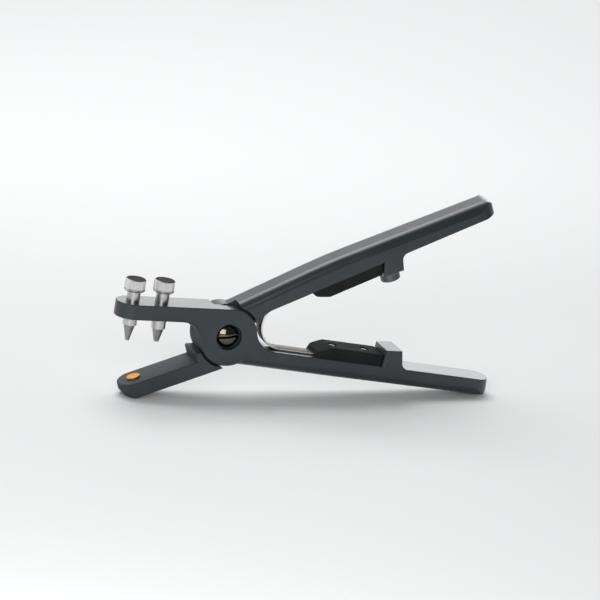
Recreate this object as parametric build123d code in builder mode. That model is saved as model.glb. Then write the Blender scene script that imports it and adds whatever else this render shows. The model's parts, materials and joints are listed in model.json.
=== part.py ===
"""Lever hole punch: two crossed steel levers, two screw-adjusted punches, a brass anvil and a leaf spring.

Both levers are drawn in a frame of their own: the origin is the pivot, x runs from the jaw to the
handle, y points from the handle side to the jaw side and z points to the side that the lever's
pivot cheek is on. The lower jaw's lever is the upper one's form turned over about x, and it stands
open by OPENING. Heights on the punch axes are measured from the pivot, in the upper lever's frame.
"""

from build123d import *

import os
from math import atan2, cos, degrees, radians, sin, sqrt

os.makedirs("parts", exist_ok=True)

# ---- driving dimensions, millimetres and degrees ---------------------------------------------------
OPENING = 22.0  # angle between rest and closed
WIDTH = 20.0  # width of the bars that the levers are made from
CHEEK_RADIUS = 17.3  # round cheek of each lever at the pivot
CHEEK_GAP = 0.2  # gap between the two cheeks
SWING_GAP = 1.5  # from a cheek's rim to the shoulder of the other lever
SHOULDER_X = 11.5  # where a handle starts beside the other lever's cheek

JAW_LENGTH = 68.4  # pivot to the front of both jaws
JAW_THICKNESS = 9.0
UPPER_BACK_SET, LOWER_BACK_SET = 0.6, 0.1  # from the cheek's rim to the level of each jaw's back
THROAT_RADIUS = 12.0  # hollow between the upper jaw and its cheek
STEP_OUT, STEP_SINK = 4.4, 0.7  # step at the back of the lower jaw, out from the cheek's rim and into it
STEP_FACE = 2.4
STEP_ROOT = 3.9
BACK_RADIUS = 12.0  # where the back of a jaw runs into the cheek
NECK_RADIUS = 14.0  # hollow between a cheek and the inner face of its handle
JAW_CORNER = 7.0  # rounding under the front of the lower jaw

LOWER_HANDLE = 166.0  # pivot to the end of each handle
UPPER_HANDLE = 173.5
HANDLE_CORNER = 6.5
HANDLE_NOSE = 2.5
LOWER_INNER, LOWER_INNER_SLOPE = 5.3, 0.0835  # inner face: distance at the pivot, and slope
UPPER_INNER, UPPER_INNER_SLOPE = 4.9, 0.0718
LOWER_OUTER_SET, UPPER_OUTER_SET = 1.1, 1.9  # from the cheek's rim to each outer face at the pivot
LOWER_OUTER_BEND, UPPER_OUTER_BEND = 22.0, 23.0  # outer face: distance at its bend
LOWER_OUTER_END, UPPER_OUTER_END = 29.2, 27.0  # and at the handle's end
OUTER_BEND_X = 70.0
OUTER_BEND_RADIUS = 400.0
GRIP_ROUNDING = 5.4
EDGE_CHAMFER = 0.4
STEP_ROUNDING = 1.0
BLOCK_CHAMFER = 1.0  # front corners of the stop blocks

BLOCK_X = 98.5  # stop blocks on the inner faces: the front of both
LOWER_BLOCK_ROOT, UPPER_BLOCK_ROOT = 96.9, 101.2  # where each front face runs into its handle
LOWER_BLOCK_LENGTH, UPPER_BLOCK_LENGTH = 9.6, 12.4
LOWER_BLOCK_FACE, UPPER_BLOCK_FACE = 3.7, 3.8  # pivot axis to the blocks' faces
BLOCK_ROOT_SINK = 1.0  # how far a block's sides run into its handle
BLOCK_DRAFT = 1.6  # how far a block's back leans out towards its root
BLOCK_ROOT_RADIUS = 4.0
PEG_DIAMETER = 11.5
PEG_STEM = 7.0
PEG_STEM_LENGTH = 8.0
PEG_SHIFT = 1.2  # of the peg behind the middle of the lower block
STOP_GAP = 1.2  # between the peg and the lower block when the jaws are closed

INSERT_X = 55.0  # plastic inserts on the inner faces
INSERT_GAP = 0.25  # between an insert and the stop block behind it
INSERT_WIDTH = 18.4
INSERT_HEIGHT = 6.8
INSERT_NOSE_HEIGHT = 3.3
INSERT_RAMP = 9.5
INSERT_SCREW_X = 67.5
INSERT_SCREW_PITCH = 20.0
INSERT_SCREW_THREAD = 3.0
INSERT_SCREW_HEAD = 4.8
INSERT_SCREW_HEAD_HEIGHT = 2.1
INSERT_SCREW_CROWN = 0.7
INSERT_SCREW_SLOT_WIDTH, INSERT_SCREW_SLOT_DEPTH = 0.8, 1.1
INSERT_SCREW_DEPTH = 7.0
INSERT_COUNTERBORE = 5.4
INSERT_COUNTERBORE_DEPTH = 2.6

LEAF_WIDTH = 9.0
LEAF_THICKNESS = 1.0
LEAF_BEND = 14.2  # radius of the middle of the bent leaf
LEAF_SETBACK = 2.5  # from the front of a stop block to the end of the leaf's arm
LEAF_GROOVE_GAP = 0.1  # on each side of the leaf in its groove
SEAT_CLEARANCE = 0.02  # between the leaf and what it lies on
SLIP = 0.05  # radial clearance of a running fit

PIVOT_SHOULDER = 9.0
PIVOT_THREAD = 7.0
PIVOT_HEAD = 13.6
PIVOT_HEAD_RIM = 1.1
PIVOT_DOME_HEIGHT = 2.7
PIVOT_SLOT_WIDTH, PIVOT_SLOT_DEPTH = 1.3, 2.6
PIVOT_SLOT_ANGLE = 10.0  # from the line of the upper jaw
PIVOT_RECESS = 15.6
PIVOT_RECESS_DEPTH = 3.9
PIVOT_THREAD_SINK = 0.2  # end of the screw below the lever's side
BUSH_CHAMFER = 0.3
BUSH_WALL = 1.25
WASHER_DIAMETER = 22.0
WASHER_THICKNESS = 0.8
NUT_ACROSS_FLATS = 11.0
NUT_HEIGHT = 4.0
NUT_RECESS_DEPTH = 4.5

PUNCH_PITCH = 17.8  # between the two punches
TIP_GAP = 0.05  # from the front tip to the anvil when the jaws are closed
REAR_TIP_GAP = 1.3  # from the rear tip to the lower jaw
FRONT_COLLAR_LENGTH, REAR_COLLAR_LENGTH = 5.2, 6.6  # below the upper jaw
FRONT_TIP_DIAMETER, REAR_TIP_DIAMETER = 2.2, 2.9
PUNCH_BASE = 6.9
PUNCH_STROKE = 3.0
STROKE_PLAY = 0.3  # left over above a punch that is screwed right up
PUNCH_SHANK = 4.3
PUNCH_FLAT = 1.6  # flat on the shank, from its axis
PUNCH_THREAD = 3.1
HOLLOW_WALL = 0.4  # wall of the cutting edge
HOLLOW_DEPTH = 5.0
COLLAR_DIAMETER = 8.4
SLEEVE_DIAMETER = 7.8
SLEEVE_RISE = 5.9  # above the back of the upper jaw
HEAD_SPIGOT = 6.1
HEAD_DIAMETER = 12.2
HEAD_GAP = 0.1  # between a sleeve and its head
HEAD_HEIGHT = 7.3
HEAD_RIM = 0.5  # flat ring round the dished top
HEAD_DISH = 0.25
HEAD_CHAMFER = 0.6
KNURL_COUNT = 48
KNURL_DEPTH = 0.25
PIN_DIAMETER = 1.5
PIN_DEPTH = 2.3  # below the back of the upper jaw
PIN_TO_SEAT = 1.8  # from a pin to the bottom of the head's seat in the sleeve
PIN_LENGTH = 15.0

ANVIL_DIAMETER = 8.0
ANVIL_PROUD = 1.1  # how far the anvil stands out of the lower jaw
ANVIL_SEAT_DEPTH = 1.6
ANVIL_SPIGOT, ANVIL_SPIGOT_LENGTH = 5.0, 3.0
ANVIL_SCREW_THREAD, ANVIL_SCREW_HEAD = 3.0, 5.6

ANVIL_CHAMFER = 0.3
PEG_ROUNDING = 0.8
SLEEVE_CHAMFER = 0.3
INSERT_END_BEVEL = 1.4
INSERT_CORNER = 2.0
INSERT_EDGE = 0.8
LEAF_HOLE_PLAY = 0.4
ANVIL_SCREW_GRIP = 2.4
ANVIL_HEAD_SINK = 0.3
ANVIL_SOCKET, ANVIL_SOCKET_DEPTH = 2.4, 1.2
BASE_LAND = 0.4  # straight land above each punch's cone
HEAD_WEB = 2.2  # metal over the head's blind bore

# ---- sizes that follow from them ------------------------------------------------------------------
HALF = WIDTH / 2
UPPER_JAW_BACK = CHEEK_RADIUS - UPPER_BACK_SET
LOWER_JAW_BACK = CHEEK_RADIUS - LOWER_BACK_SET
UPPER_JAW_FACE = UPPER_JAW_BACK - JAW_THICKNESS  # pivot axis to the working face of each jaw
LOWER_JAW_FACE = LOWER_JAW_BACK - JAW_THICKNESS
STEP_X = CHEEK_RADIUS + STEP_OUT
STEP_REACH = CHEEK_RADIUS - STEP_SINK
LOWER_OUTER = (CHEEK_RADIUS - LOWER_OUTER_SET, LOWER_OUTER_BEND, LOWER_OUTER_END)
UPPER_OUTER = (CHEEK_RADIUS - UPPER_OUTER_SET, UPPER_OUTER_BEND, UPPER_OUTER_END)
FRONT_PUNCH_X = JAW_LENGTH - HALF  # the front punch is in the middle of the jaw's round end
REAR_PUNCH_X = FRONT_PUNCH_X - PUNCH_PITCH
LEAF_END_X = BLOCK_X - LEAF_SETBACK
WASHER_SEAT = WASHER_THICKNESS + CHEEK_GAP / 4
HEAD_SEAT = HALF - PIVOT_RECESS_DEPTH + CHEEK_GAP / 2
PIVOT_SCREW_END = PIVOT_THREAD_SINK - HALF
ANVIL_FACE = LOWER_JAW_FACE - ANVIL_PROUD
FRONT_TIP = ANVIL_FACE - TIP_GAP  # depth of the tips below the pivot axis
REAR_TIP = LOWER_JAW_FACE - REAR_TIP_GAP
FRONT_COLLAR = UPPER_JAW_FACE - FRONT_COLLAR_LENGTH
REAR_COLLAR = UPPER_JAW_FACE - REAR_COLLAR_LENGTH
SLEEVE_TOP = UPPER_JAW_BACK + SLEEVE_RISE
HEAD_BOTTOM = SLEEVE_TOP + HEAD_GAP
HEAD_TOP = HEAD_BOTTOM + HEAD_HEIGHT
ANVIL_BORE = ANVIL_SEAT_DEPTH + ANVIL_SPIGOT_LENGTH
ANVIL_HEAD_TOP = LOWER_JAW_BACK - ANVIL_HEAD_SINK
PEG_X = BLOCK_X + LOWER_BLOCK_LENGTH / 2 + PEG_SHIFT
PIN_HEIGHT = UPPER_JAW_BACK - PIN_DEPTH
SLEEVE_SEAT = PIN_HEIGHT - PIN_TO_SEAT
PIN_OFFSET = HEAD_SPIGOT / 2 + PIN_DIAMETER / 6
SHANK_TOP = SLEEVE_SEAT - PUNCH_STROKE - STROKE_PLAY
PEG_FACE = LOWER_BLOCK_FACE - STOP_GAP  # pivot axis to the peg's face
THREAD_TOP = HEAD_TOP - HEAD_WEB - PUNCH_STROKE - STROKE_PLAY
PUNCHES = (
    ("front", FRONT_PUNCH_X, FRONT_COLLAR, FRONT_TIP, FRONT_TIP_DIAMETER),
    ("rear", REAR_PUNCH_X, REAR_COLLAR, REAR_TIP, REAR_TIP_DIAMETER),
)


# ---- placing --------------------------------------------------------------------------------------
ABOVE = (Align.CENTER, Align.MIN)
BESIDE = (Align.MIN, Align.CENTER)


def turned(x, y, angle):
    """A point of a side view, turned about the pivot."""
    a = radians(angle)
    return x * cos(a) - y * sin(a), x * sin(a) + y * cos(a)


def stance():
    """Tilt and place of the pivot when the open tool stands on its lower jaw and lower handle."""
    jaw = turned(JAW_CORNER - JAW_LENGTH, JAW_CORNER - LOWER_JAW_BACK, OPENING)
    handle_y = HANDLE_CORNER - LOWER_OUTER_END
    handle = (LOWER_HANDLE - HANDLE_CORNER, handle_y)
    reach = sqrt((handle[0] - jaw[0]) ** 2 + (handle[1] - jaw[1]) ** 2)
    # both corners touch the ground, so the line between their centres rises by the radii's difference
    rise = degrees(atan2(handle[1] - jaw[1], handle[0] - jaw[0]))
    tilt = rise - degrees((HANDLE_CORNER - JAW_CORNER) / reach)
    height = JAW_CORNER - turned(*jaw, -tilt)[1]
    front = turned(-JAW_LENGTH, UPPER_JAW_FACE + EDGE_CHAMFER, -tilt)[0]
    back = turned(LOWER_HANDLE, handle_y, -tilt)[0]
    return tilt, -(front + back) / 2, height


TILT, PIVOT_X, PIVOT_Z = stance()
PIVOT = (PIVOT_X, 0, PIVOT_Z)


def side_plane(angle, flipped=False):
    """Side view of a lever; flipped for the lever that is turned over about x."""
    x_dir = (cos(radians(angle)), 0, sin(radians(angle)))
    return Plane(origin=PIVOT, x_dir=x_dir, z_dir=(0, 1 if flipped else -1, 0))


UPPER_SIDE = side_plane(-TILT)  # frame of the upper jaw's lever
LOWER_SIDE = side_plane(OPENING - TILT, flipped=True)  # frame of the lower jaw's lever


def upright(side, x, y):
    """Plane across a lever's y at a point of its side view, for punches, pegs and bores."""
    return Plane(origin=side.from_local_coords((x, y, 0)), x_dir=side.x_dir, z_dir=side.y_dir)


def across(side):
    """Axis along a lever's y, to sort its pieces' faces by."""
    return Axis(PIVOT, side.y_dir)


def inner_face(side, inner, slope, x):
    """Plane on a handle's inner face at x, with z out of the face and x towards the handle's end."""
    along = side.x_dir - side.y_dir * slope
    return Plane(
        origin=side.from_local_coords((x, -inner - slope * x, 0)),
        x_dir=along,
        z_dir=side.y_dir + side.x_dir * slope,
    )


def block_front(face, root_x, block_face):
    """Front face of a stop block in a lever's side view: a point inside the handle, and the foot."""
    inner, slope = face[1:]
    return (root_x, -inner - slope * root_x - BLOCK_ROOT_SINK), (BLOCK_X, -block_face)


def profile_plane(plane):
    """Upright plane through the x axis of a plane, with y along its z."""
    return Plane(origin=plane.origin, x_dir=plane.x_dir, z_dir=-plane.y_dir)


PIVOT_LINE = Plane(origin=PIVOT, x_dir=UPPER_SIDE.x_dir, z_dir=(0, -1, 0))
UPPER_FACE = (LOWER_SIDE, UPPER_INNER, UPPER_INNER_SLOPE)  # inner face of the upper handle
LOWER_FACE = (UPPER_SIDE, LOWER_INNER, LOWER_INNER_SLOPE)
UPPER_FRONT = block_front(UPPER_FACE, UPPER_BLOCK_ROOT, UPPER_BLOCK_FACE)
LOWER_FRONT = block_front(LOWER_FACE, LOWER_BLOCK_ROOT, LOWER_BLOCK_FACE)


# ---- levers ---------------------------------------------------------------------------------------
def near(sketch, x, y):
    """The corner of a side view that is nearest to a point."""
    return sketch.vertices().sort_by_distance(Vector(x, y, 0))[0]


def lever_outline(jaw_face, jaw_back, handle, inner, slope, outer, front, block_length, stepped):
    """Side view of a lever: jaw, round cheek, handle and stop block."""
    block_end = BLOCK_X + block_length
    at_pivot, at_bend, at_end = outer
    with BuildSketch() as outline:
        with Locations((-JAW_LENGTH, jaw_face)):
            Rectangle(JAW_LENGTH, jaw_back - jaw_face, align=(Align.MIN, Align.MIN))
        Circle(CHEEK_RADIUS)
        with Locations((0, jaw_back)):
            Rectangle(2 * CHEEK_RADIUS, CHEEK_RADIUS, align=ABOVE, mode=Mode.SUBTRACT)
        with BuildLine():
            Polyline(
                (0, -inner),
                (handle, -inner - slope * handle),
                (handle, -at_end),
                (OUTER_BEND_X, -at_bend),
                (0, -at_pivot),
                close=True,
            )
        make_face()
        with BuildLine():
            Polyline(
                *front,
                (block_end, front[1][1]),
                (block_end + BLOCK_DRAFT, -inner - slope * block_end - BLOCK_ROOT_SINK),
                close=True,
            )
        make_face()
        if stepped:
            with BuildLine():
                Polyline(
                    (-STEP_X, jaw_face + STEP_ROUNDING),
                    (-STEP_X, STEP_FACE),
                    (-STEP_REACH, STEP_ROOT),
                    (0, STEP_ROOT),
                    (0, jaw_face + STEP_ROUNDING),
                    close=True,
                )
            make_face()
            fillet(near(outline, -STEP_X, STEP_FACE), STEP_ROUNDING)
            fillet(near(outline, -JAW_LENGTH, jaw_back), JAW_CORNER)
        else:
            throat_x = sqrt(CHEEK_RADIUS**2 - jaw_face**2)
            fillet(near(outline, -throat_x, jaw_face), THROAT_RADIUS)
        fillet(near(outline, sqrt(CHEEK_RADIUS**2 - jaw_back**2), jaw_back), BACK_RADIUS)
        fillet(near(outline, CHEEK_RADIUS, -inner - slope * CHEEK_RADIUS), NECK_RADIUS)
        fillet(near(outline, OUTER_BEND_X, -at_bend), OUTER_BEND_RADIUS)
        fillet(near(outline, block_end + BLOCK_DRAFT, -inner - slope * block_end), BLOCK_ROOT_RADIUS)
    return outline.sketch


def depth(face, point):
    """How far a point lies behind the inner face of a handle."""
    side, inner, slope = face
    local = side.to_local_coords(point)
    return -local.Y - inner - slope * local.X


def on_grip(face, edge):
    """Whether an edge runs along the outer face of a handle."""
    ends = [face[0].to_local_coords(edge @ share).X for share in (0, 1)]
    outside = depth(face, edge @ 0.5) > GRIP_ROUNDING
    return outside and min(ends) > 0 and abs(ends[0] - ends[1]) > EDGE_CHAMFER


def on_side(face, edge):
    """Whether an edge bounds one of the flat sides of a lever, other than along its grip."""
    places = [face[0].to_local_coords(edge @ share) for share in (0, 0.5, 1)]
    flat = all(HALF - abs(place.Z) < SLIP for place in places)
    return flat and (places[1].X < 0 or depth(face, edge @ 0.5) < EDGE_CHAMFER)


def on_jaw_rim(side, edge):
    """Whether an edge runs round the front of a jaw."""
    round_front = edge.geom_type == GeomType.CIRCLE and abs(edge.radius - HALF) < SLIP
    return round_front and side.to_local_coords(edge @ 0.5).X < SLIP - JAW_LENGTH


def on_block_corner(face, edge):
    """Whether an edge is one of the two front corners of a stop block."""
    places = [face[0].to_local_coords(edge @ share).X for share in (0, 1)]
    return on_side(face, edge) and all(abs(place - BLOCK_X) < LOWER_BLOCK_LENGTH / 2 for place in places)


def lever_blank(face, handle, outline):
    """A lever with its rounded grip, broken edges and round ends, before the half lap and the boring."""
    side = face[0]
    with BuildPart() as blank:
        with BuildSketch(side):
            add(outline)
        extrude(amount=HALF, both=True)
        fillet(blank.edges().filter_by(lambda edge: on_grip(face, edge)), GRIP_ROUNDING)
        chamfer(blank.edges().filter_by(lambda edge: on_block_corner(face, edge)), BLOCK_CHAMFER)
        chamfer(blank.edges().filter_by(lambda edge: on_side(face, edge)), EDGE_CHAMFER)
        with BuildSketch(side):
            rounded = add(outline)
            end = rounded.vertices().group_by(Axis.X)[-1].sort_by(Axis.Y)
            fillet(end[0], HANDLE_CORNER)
            fillet(end[-1], HANDLE_NOSE)
        extrude(amount=WIDTH, both=True, mode=Mode.INTERSECT)
        with BuildSketch(upright(side, (handle - JAW_LENGTH) / 2, 0)):
            SlotOverall(handle + JAW_LENGTH, WIDTH)
        extrude(amount=handle, both=True, mode=Mode.INTERSECT)
        chamfer(blank.edges().filter_by(lambda edge: on_jaw_rim(side, edge)), EDGE_CHAMFER)
    return blank.part


def half_lap(side):
    """What the other lever's cheek needs cut away, on the side of the lever that its cheek isn't on."""
    radius = CHEEK_RADIUS + SWING_GAP
    with BuildPart() as lap:
        with BuildSketch(side.offset(CHEEK_GAP / 2)):
            Circle(radius)
            with Locations((-radius, 0)):
                Rectangle(radius + SHOULDER_X, radius, align=(Align.MIN, Align.MAX))
        extrude(amount=-WIDTH)
    return lap.part


def screw_points():
    """Places of the two insert screws along a handle's inner face, from the insert's front end."""
    first = INSERT_SCREW_X - INSERT_X
    return [(first, 0), (first + INSERT_SCREW_PITCH, 0)]


def screw_cone():
    """Countersunk head of the anvil's screw, which the jaw is sunk for."""
    height = (ANVIL_SCREW_HEAD - ANVIL_SCREW_THREAD) / 2
    with BuildPart() as cone:
        with BuildSketch(upright(LOWER_SIDE, -FRONT_PUNCH_X, ANVIL_HEAD_TOP)):
            Circle(ANVIL_SCREW_HEAD / 2)
        extrude(amount=-height, taper=45)
    return cone.part


upper_jaw_outline = lever_outline(
    UPPER_JAW_FACE, UPPER_JAW_BACK, LOWER_HANDLE, LOWER_INNER, LOWER_INNER_SLOPE, LOWER_OUTER,
    LOWER_FRONT, LOWER_BLOCK_LENGTH, stepped=False)
lower_jaw_outline = lever_outline(
    LOWER_JAW_FACE, LOWER_JAW_BACK, UPPER_HANDLE, UPPER_INNER, UPPER_INNER_SLOPE, UPPER_OUTER,
    UPPER_FRONT, UPPER_BLOCK_LENGTH, stepped=True)
upper_jaw_blank = lever_blank(LOWER_FACE, LOWER_HANDLE, upper_jaw_outline)
lower_jaw_blank = lever_blank(UPPER_FACE, UPPER_HANDLE, lower_jaw_outline)
upper_jaw_lap = half_lap(UPPER_SIDE)
lower_jaw_lap = half_lap(LOWER_SIDE)
anvil_screw_cone = screw_cone()


with BuildPart() as upper_jaw_lever:
    add(upper_jaw_blank)
    add(upper_jaw_lap, mode=Mode.SUBTRACT)
    with BuildSketch(UPPER_SIDE.offset(HALF)):
        Circle(PIVOT_RECESS / 2)
    extrude(amount=-PIVOT_RECESS_DEPTH, mode=Mode.SUBTRACT)
    with BuildSketch(UPPER_SIDE):
        Circle(PIVOT_SHOULDER / 2 + SLIP + BUSH_WALL)
    extrude(amount=HALF, mode=Mode.SUBTRACT)
    for punch_x in (FRONT_PUNCH_X, REAR_PUNCH_X):
        with BuildSketch(upright(UPPER_SIDE, -punch_x, 0)):
            Circle(SLEEVE_DIAMETER / 2)
        extrude(amount=SLEEVE_TOP, mode=Mode.SUBTRACT)
        with BuildSketch(UPPER_SIDE.offset(-HALF)):
            with Locations((-punch_x - PIN_OFFSET, PIN_HEIGHT)):
                Circle(PIN_DIAMETER / 2)
        extrude(amount=PIN_LENGTH, mode=Mode.SUBTRACT)
    with BuildSketch(inner_face(*LOWER_FACE, INSERT_X)):
        with Locations(*screw_points()):
            Circle(INSERT_SCREW_THREAD / 2)
    extrude(amount=-INSERT_SCREW_DEPTH, mode=Mode.SUBTRACT)
upper_jaw_lever.part.label = "upper_jaw_lever"
export_step(upper_jaw_lever.part, "parts/upper_jaw_lever.step")


with BuildPart() as lower_jaw_lever:
    add(lower_jaw_blank)
    add(lower_jaw_lap, mode=Mode.SUBTRACT)
    with BuildSketch(LOWER_SIDE):
        Circle(PIVOT_THREAD / 2)
    extrude(amount=HALF, mode=Mode.SUBTRACT)
    with BuildSketch(LOWER_SIDE):
        Circle(WASHER_DIAMETER / 2)
    extrude(amount=WASHER_SEAT, mode=Mode.SUBTRACT)
    with BuildSketch(LOWER_SIDE.offset(HALF)):
        Circle(PIVOT_RECESS / 2)
    extrude(amount=-NUT_RECESS_DEPTH, mode=Mode.SUBTRACT)
    with BuildSketch(upright(LOWER_SIDE, -FRONT_PUNCH_X, LOWER_JAW_FACE)):
        Circle(ANVIL_DIAMETER / 2)
    extrude(amount=ANVIL_SEAT_DEPTH, mode=Mode.SUBTRACT)
    with BuildSketch(upright(LOWER_SIDE, -FRONT_PUNCH_X, LOWER_JAW_FACE)):
        Circle(ANVIL_SPIGOT / 2)
    extrude(amount=ANVIL_BORE, mode=Mode.SUBTRACT)
    with BuildSketch(upright(LOWER_SIDE, -FRONT_PUNCH_X, LOWER_JAW_FACE)):
        Circle(ANVIL_SCREW_THREAD / 2)
    extrude(amount=LOWER_JAW_BACK - LOWER_JAW_FACE, mode=Mode.SUBTRACT)
    add(anvil_screw_cone, mode=Mode.SUBTRACT)
    with BuildSketch(upright(LOWER_SIDE, -FRONT_PUNCH_X, ANVIL_HEAD_TOP)):
        Circle(ANVIL_SCREW_HEAD / 2)
    extrude(amount=ANVIL_HEAD_SINK, mode=Mode.SUBTRACT)
    with BuildSketch(upright(LOWER_SIDE, PEG_X, 0)):
        Circle(PEG_STEM / 2)
    extrude(amount=-UPPER_BLOCK_FACE - PEG_STEM_LENGTH, mode=Mode.SUBTRACT)
    with BuildSketch(inner_face(*UPPER_FACE, INSERT_X)):
        with Locations(*screw_points()):
            Circle(INSERT_SCREW_THREAD / 2)
    extrude(amount=-INSERT_SCREW_DEPTH, mode=Mode.SUBTRACT)
lower_jaw_lever.part.label = "lower_jaw_lever"
export_step(lower_jaw_lever.part, "parts/lower_jaw_lever.step")


# ---- pivot ----------------------------------------------------------------------------------------
with BuildPart() as pivot_bush:
    with BuildSketch(UPPER_SIDE.offset(CHEEK_GAP / 2)):
        Circle(PIVOT_SHOULDER / 2 + SLIP + BUSH_WALL)
        Circle(PIVOT_SHOULDER / 2 + SLIP, mode=Mode.SUBTRACT)
    extrude(amount=HALF - PIVOT_RECESS_DEPTH - CHEEK_GAP / 2)
    chamfer(pivot_bush.edges().group_by(Axis.Y)[0].sort_by(SortBy.RADIUS)[0], BUSH_CHAMFER)
pivot_bush.part.label = "pivot_bush"
export_step(pivot_bush.part, "parts/pivot_bush.step")


with BuildPart() as pivot_washer:
    with BuildSketch(UPPER_SIDE.offset(-WASHER_SEAT)):
        Circle(WASHER_DIAMETER / 2)
        Circle(PIVOT_SHOULDER / 2, mode=Mode.SUBTRACT)
    extrude(amount=WASHER_THICKNESS)
pivot_washer.part.label = "pivot_washer"
export_step(pivot_washer.part, "parts/pivot_washer.step")


def dome_point(share):
    """A point on the pivot screw's domed head, from its rim (0) to its crown (1)."""
    radius = ((PIVOT_HEAD / 2) ** 2 + PIVOT_DOME_HEIGHT**2) / (2 * PIVOT_DOME_HEIGHT)
    x = PIVOT_HEAD / 2 * (1 - share)
    base = HEAD_SEAT + PIVOT_HEAD_RIM + PIVOT_DOME_HEIGHT - radius
    return x, base + sqrt(radius**2 - x**2)


with BuildPart() as pivot_screw:
    with BuildSketch(profile_plane(PIVOT_LINE)):
        with BuildLine():
            Polyline(
                (0, PIVOT_SCREW_END),
                (PIVOT_THREAD / 2, PIVOT_SCREW_END),
                (PIVOT_THREAD / 2, -WASHER_SEAT),
                (PIVOT_SHOULDER / 2, -WASHER_SEAT),
                (PIVOT_SHOULDER / 2, HEAD_SEAT),
                (PIVOT_HEAD / 2, HEAD_SEAT),
                dome_point(0),
            )
            ThreePointArc(dome_point(0), dome_point(0.5), dome_point(1))
            Line(dome_point(1), (0, PIVOT_SCREW_END))
        make_face()
    revolve(axis=Axis(PIVOT, (0, -1, 0)))
    with BuildSketch(UPPER_SIDE.offset(HEAD_SEAT + PIVOT_HEAD_RIM + PIVOT_DOME_HEIGHT)):
        Rectangle(PIVOT_HEAD, PIVOT_SLOT_WIDTH, rotation=PIVOT_SLOT_ANGLE)
    extrude(amount=-PIVOT_SLOT_DEPTH, mode=Mode.SUBTRACT)
pivot_screw.part.label = "pivot_screw"
export_step(pivot_screw.part, "parts/pivot_screw.step")


with BuildPart() as pivot_nut:
    with BuildSketch(LOWER_SIDE.offset(HALF - NUT_RECESS_DEPTH)):
        RegularPolygon(NUT_ACROSS_FLATS / 2, 6, major_radius=False)
        Circle(PIVOT_THREAD / 2, mode=Mode.SUBTRACT)
    extrude(amount=NUT_HEIGHT)
pivot_nut.part.label = "pivot_nut"
export_step(pivot_nut.part, "parts/pivot_nut.step")


# ---- anvil and stop peg ---------------------------------------------------------------------------
with BuildPart() as anvil:
    with BuildSketch(upright(LOWER_SIDE, -FRONT_PUNCH_X, ANVIL_FACE)):
        Circle(ANVIL_DIAMETER / 2)
    extrude(amount=LOWER_JAW_FACE - ANVIL_FACE + ANVIL_SEAT_DEPTH)
    chamfer(anvil.faces().sort_by(across(LOWER_SIDE))[0].edges(), ANVIL_CHAMFER)
    with BuildSketch(upright(LOWER_SIDE, -FRONT_PUNCH_X, LOWER_JAW_FACE + ANVIL_SEAT_DEPTH)):
        Circle(ANVIL_SPIGOT / 2)
    extrude(amount=ANVIL_SPIGOT_LENGTH)
    with BuildSketch(upright(LOWER_SIDE, -FRONT_PUNCH_X, LOWER_JAW_FACE + ANVIL_BORE)):
        Circle(ANVIL_SCREW_THREAD / 2)
    extrude(amount=-ANVIL_SCREW_GRIP, mode=Mode.SUBTRACT)
anvil.part.label = "anvil"
export_step(anvil.part, "parts/anvil.step")


with BuildPart() as anvil_screw:
    with BuildSketch(upright(LOWER_SIDE, -FRONT_PUNCH_X, LOWER_JAW_FACE + ANVIL_BORE - ANVIL_SCREW_GRIP)):
        Circle(ANVIL_SCREW_THREAD / 2)
    extrude(amount=ANVIL_HEAD_TOP - LOWER_JAW_FACE - ANVIL_BORE + ANVIL_SCREW_GRIP)
    add(anvil_screw_cone)
    with BuildSketch(upright(LOWER_SIDE, -FRONT_PUNCH_X, ANVIL_HEAD_TOP)):
        RegularPolygon(ANVIL_SOCKET / 2, 6)
    extrude(amount=-ANVIL_SOCKET_DEPTH, mode=Mode.SUBTRACT)
anvil_screw.part.label = "anvil_screw"
export_step(anvil_screw.part, "parts/anvil_screw.step")


with BuildPart() as stop_peg:
    with BuildSketch(upright(LOWER_SIDE, PEG_X, -UPPER_BLOCK_FACE)):
        Circle(PEG_STEM / 2)
    extrude(amount=-PEG_STEM_LENGTH)
    with BuildSketch(upright(LOWER_SIDE, PEG_X, -UPPER_BLOCK_FACE)):
        Circle(PEG_DIAMETER / 2)
    extrude(amount=UPPER_BLOCK_FACE + PEG_FACE)
    fillet(stop_peg.faces().sort_by(across(LOWER_SIDE))[-1].edges(), PEG_ROUNDING)
stop_peg.part.label = "stop_peg"
export_step(stop_peg.part, "parts/stop_peg.step")


# ---- inserts and leaf spring ----------------------------------------------------------------------
def insert_end(plane, side, front, height):
    """How far an insert reaches along its handle's inner face, at a height above that face."""
    root, foot = [plane.to_local_coords(side.from_local_coords((*point, 0))) for point in front]
    lean = (foot.X - root.X) / (foot.Z - root.Z)
    return root.X + lean * (height - root.Z) - INSERT_GAP


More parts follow.
